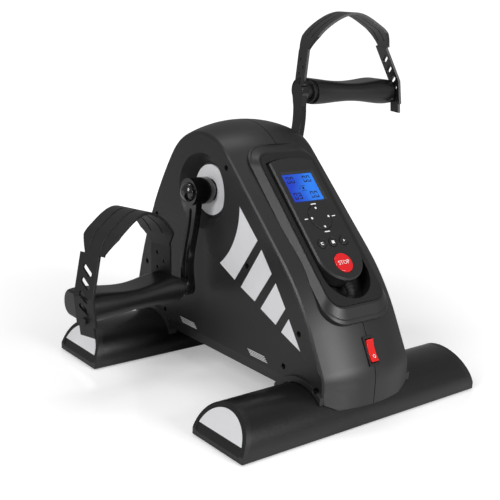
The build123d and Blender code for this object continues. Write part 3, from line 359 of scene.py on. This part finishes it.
# ---------------------------------------------------------------- power key marks
NOSE_LOW, NOSE_HIGH = (-163.0, 54.9), (-121.2, 132.2)   # ends of the nose's straight edge, mm
CROWN = 11.5                  # bulge of the nose over its edges, mm
ROCKER_Z = 76.7               # height of the key's pivot, mm
NOSE = math.atan2(NOSE_HIGH[0] - NOSE_LOW[0], NOSE_HIGH[1] - NOSE_LOW[1])
KEY_TILT = math.radians(-10)  # the key's own tilt at rest
ROCKER_RISE = ROCKER_Z - NOSE_LOW[1] - CROWN * math.sin(NOSE)
ROCKER_Y = NOSE_LOW[0] - CROWN * math.cos(NOSE) + ROCKER_RISE * math.tan(NOSE)
ROCKER = Vector((0, MID_Y + ROCKER_Y * MM, ROCKER_Z * MM))
ROCKER_UP = Vector((0, math.sin(NOSE), math.cos(NOSE)))
ROCKER_OUT = Vector((0, -math.cos(NOSE), math.sin(NOSE)))
DISH_RISE, DISH_CURVE = 1.6, 0.01385    # the key's face over its pivot, and how it rises away from the middle
MARK_REACH = 6.4              # distance of each mark from the key's pivot, mm


def on_key(reach):
    """Placing function tangent to the key's dished face, a distance (mm) above or below its pivot."""
    turn = KEY_TILT + math.atan(2 * DISH_CURVE * reach)
    up = math.cos(turn) * ROCKER_UP + math.sin(turn) * ROCKER_OUT
    out = math.cos(turn) * ROCKER_OUT - math.sin(turn) * ROCKER_UP
    rise = DISH_RISE + DISH_CURVE * reach ** 2
    base = ROCKER + (
        (math.cos(KEY_TILT) * reach - math.sin(KEY_TILT) * rise) * ROCKER_UP
        + (math.sin(KEY_TILT) * reach + math.cos(KEY_TILT) * rise) * ROCKER_OUT
    ) * MM
    return lambda u, v, height: base + Vector((u, 0, 0)) + up * v + out * (0.08 * MM + height)


ON_BAR = [rect(-0.4, -1.8, 0.4, 1.8)]
RING_STEPS = 16
outer, inner = disc(0, 0, 1.9, RING_STEPS), disc(0, 0, 1.2, RING_STEPS)
OFF_RING = [[outer[i - 1], outer[i], inner[i], inner[i - 1]] for i in range(RING_STEPS)]
plates("power_on_mark", ON_BAR, on_key(MARK_REACH), 0.05, "power_key", WHITE_INK)
plates("power_off_mark", OFF_RING, on_key(-MARK_REACH), 0.05, "power_key", WHITE_INK)


def flat_text(name, words, size, frame_matrix, body, material):
    """Raised generic word, turned into a mesh."""
    curve = bpy.data.curves.new(name, "FONT")
    curve.body = words
    curve.size = size
    curve.align_x = "CENTER"
    curve.align_y = "CENTER"
    curve.extrude = 0.00004
    curve.resolution_u = 3
    holder = bpy.data.objects.new(name, curve)
    bpy.context.collection.objects.link(holder)
    bpy.context.view_layer.update()
    mesh = bpy.data.meshes.new_from_object(holder.evaluated_get(bpy.context.evaluated_depsgraph_get()))
    bpy.data.objects.remove(holder)
    mesh.transform(frame_matrix)
    mesh.materials.clear()
    return link(name, mesh, body, material)


def basis(x_axis, y_axis, origin):
    """Matrix that takes a flat drawing onto the plane of two axes."""
    z_axis = x_axis.cross(y_axis)
    return Matrix.Translation(origin) @ Matrix((x_axis, y_axis, z_axis)).transposed().to_4x4()


STOP_FACE = SCREEN + ALONG * STOP_AT * MM + OUT * STOP_LEVEL * MM
flat_text("stop_word", "STOP", 6.4 * MM, basis(Vector((1, 0, 0)), ALONG, STOP_FACE),
          "stop_key", WHITE_INK)


# ---------------------------------------------------------------- studio
def studio():
    """White floor and background, brightened for the camera, with the floor's brightening faded near the
    machine as painted shade, and soft lights.
    """
    mesh = bpy.data.meshes.new("floor")
    reach = 12.0
    corners = [(-reach, -reach, 0), (reach, -reach, 0), (reach, reach, 0), (-reach, reach, 0)]
    mesh.from_pydata(corners, [], [(0, 1, 2, 3)])
    floor = bpy.data.objects.new("floor", mesh)
    bpy.context.collection.objects.link(floor)
    n = Nodes("floor_white")
    seen = n.add("LightPath").outputs["Is Camera Ray"]
    painted_shade_distance = n.add("VectorMath", {0: n.where}, operation="LENGTH").outputs["Value"]
    # Painted shade: the camera-only floor emission is weaker within about 0.9 m of the middle, so the floor
    # round and under the machine shows darker.
    glow = n.add("Math", {0: seen, 1: n.ramp(painted_shade_distance, 0.25, 0.9, 0.3, 0.8)}, operation="MULTIPLY").outputs[0]
    n.set(
        Base_Color=rgb(0.97), Roughness=n.ramp(n.noise(4.0), 0.3, 0.7, 0.08, 0.12),
        Emission_Color=(1, 1, 1, 1), Emission_Strength=glow,
    )
    mesh.materials.append(n.material)

    world = bpy.data.worlds.new("studio")
    bpy.context.scene.world = world
    world.use_nodes = True
    tree = world.node_tree
    tree.nodes["Background"].inputs["Color"].default_value = (1, 1, 1, 1)
    seen = tree.nodes.new("ShaderNodeLightPath").outputs["Is Camera Ray"]
    level = tree.nodes.new("ShaderNodeMapRange")
    level.inputs["To Min"].default_value = 0.3
    level.inputs["To Max"].default_value = 1.1
    tree.links.new(seen, level.inputs["Value"])
    tree.links.new(level.outputs["Result"], tree.nodes["Background"].inputs["Strength"])

    def lamp(name, where, at, size, power):
        data = bpy.data.lights.new(name, "AREA")
        data.shape = "RECTANGLE"
        data.size, data.size_y = size
        data.energy = power
        light = bpy.data.objects.new(name, data)
        light.location = where
        light.rotation_euler = (Vector(where) - Vector(at)).to_track_quat("Z", "Y").to_euler()
        bpy.context.collection.objects.link(light)

    lamp("key", (-1.5, -0.5, 1.1), (0, 0, 0.15), (0.5, 0.9), 15)
    lamp("front", (0.3, -1.8, 0.7), (0, 0, 0.12), (0.5, 0.8), 20)
    lamp("top", (0.1, 0.2, 1.9), (0, 0, 0.1), (1.2, 0.3), 6)


studio()
bpy.context.scene.view_settings.view_transform = "Standard"
